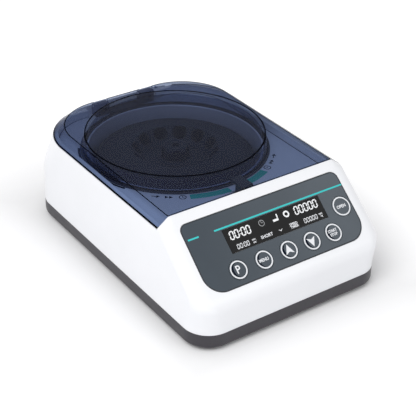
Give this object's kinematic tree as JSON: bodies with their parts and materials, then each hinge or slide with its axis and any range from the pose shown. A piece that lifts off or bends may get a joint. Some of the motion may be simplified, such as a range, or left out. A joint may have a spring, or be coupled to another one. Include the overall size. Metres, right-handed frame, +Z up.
{
  "type": "mini centrifuge",
  "caption": "Small bench centrifuge: white housing on a dark tray, sloping panel with display and buttons, tinted hinged lid over an angle rotor in a round bowl.",
  "frame": {"origin": "on the table under the middle of the body's bounding box, at the feet's undersides", "axes": "+Z up, -Y the front with the panel, +X to the user's right"},
  "size_m": [0.17, 0.248, 0.0853],
  "materials": {
    "white_plastic": "glossy moulded",
    "grey_plastic": "fine matt texture",
    "slate_film": "printed satin film",
    "tinted_clear": "clear moulded, blue-grey tint",
    "display_black": "glossy window",
    "rotor_black": "black anodised",
    "black_rubber": "matt",
    "black_plastic": "satin",
    "bare_steel": "bare",
    "green_board": "solder mask"
  },
  "bodies": {
    "body": {"base_screw_1": "bare_steel", "base_screw_2": "bare_steel", "base_screw_3": "bare_steel", "base_screw_4": "bare_steel", "base_tray": "grey_plastic", "bearing_lower": "bare_steel", "bearing_upper": "bare_steel", "bowl_gasket": "black_rubber", "control_board": "green_board", "display_module": "black_plastic", "display_window": "display_black", "foot_front_left": "black_rubber", "foot_front_right": "black_rubber", "foot_rear_left": "black_rubber", "foot_rear_right": "black_rubber", "hinge_bracket_left": "black_plastic", "hinge_bracket_right": "black_plastic", "hinge_pin_left": "bare_steel", "hinge_pin_right": "bare_steel", "latch_solenoid": "black_plastic", "main_board": "green_board", "motor_damper_1": "black_rubber", "motor_damper_2": "black_rubber", "motor_damper_3": "black_rubber", "motor_damper_4": "black_rubber", "motor_housing": "bare_steel", "motor_plate": "bare_steel", "panel_overlay": "slate_film", "power_jack": "black_plastic", "rotor_bowl": "bare_steel", "switch_bezel": "black_plastic", "upper_housing": "white_plastic"},
    "lid": {"lid_shell": "tinted_clear", "hinge_arm_left": "black_plastic", "hinge_arm_right": "black_plastic", "latch_hook": "black_plastic"},
    "rotor": {"rotor": "rotor_black", "rotor_nut": "black_plastic", "motor_shaft": "bare_steel"},
    "bolt": {"latch_bolt": "bare_steel"},
    "rocker": {"switch_rocker": "black_plastic"},
    "button_program": {"button_program": "slate_film"},
    "button_menu": {"button_menu": "slate_film"},
    "button_up": {"button_up": "slate_film"},
    "button_down": {"button_down": "slate_film"},
    "button_start_stop": {"button_start_stop": "slate_film"},
    "button_open": {"button_open": "slate_film"}
  },
  "joints": [
    {"name": "lid_hinge", "type": "hinge", "parent": "body", "child": "lid", "pos_m": [0, 0.1175, 0.08], "axis": [-1, 0, 0], "range_deg": [0, 80]},
    {"name": "rotor_spin", "type": "hinge", "parent": "body", "child": "rotor", "pos_m": [0, 0.0361, 0.055], "axis": [0, 0, 1], "continuous": true},
    {"name": "button_program_press", "type": "slide", "parent": "body", "child": "button_program", "axis": [0, 0.6347, -0.7727], "range_m": [0, 0.0008], "stiffness_N_per_m": 300, "springref_m": -0.0005},
    {"name": "button_menu_press", "type": "slide", "parent": "body", "child": "button_menu", "axis": [0, 0.6347, -0.7727], "range_m": [0, 0.0008], "stiffness_N_per_m": 300, "springref_m": -0.0005},
    {"name": "button_up_press", "type": "slide", "parent": "body", "child": "button_up", "axis": [0, 0.6347, -0.7727], "range_m": [0, 0.0008], "stiffness_N_per_m": 300, "springref_m": -0.0005},
    {"name": "button_down_press", "type": "slide", "parent": "body", "child": "button_down", "axis": [0, 0.6347, -0.7727], "range_m": [0, 0.0008], "stiffness_N_per_m": 300, "springref_m": -0.0005},
    {"name": "button_start_stop_press", "type": "slide", "parent": "body", "child": "button_start_stop", "axis": [0, 0.6347, -0.7727], "range_m": [0, 0.0008], "stiffness_N_per_m": 300, "springref_m": -0.0005},
    {"name": "button_open_press", "type": "slide", "parent": "body", "child": "button_open", "axis": [0, 0.6347, -0.7727], "range_m": [0, 0.0008], "stiffness_N_per_m": 300, "springref_m": -0.0005},
    {"name": "bolt_slide", "type": "slide", "parent": "body", "child": "bolt", "axis": [-1, 0, 0], "range_m": [0, 0.0035]},
    {"name": "rocker_tilt", "type": "hinge", "parent": "body", "child": "rocker", "pos_m": [-0.017, 0.1186, 0.0345], "axis": [1, 0, 0], "range_deg": [0, 12]}
  ]
}
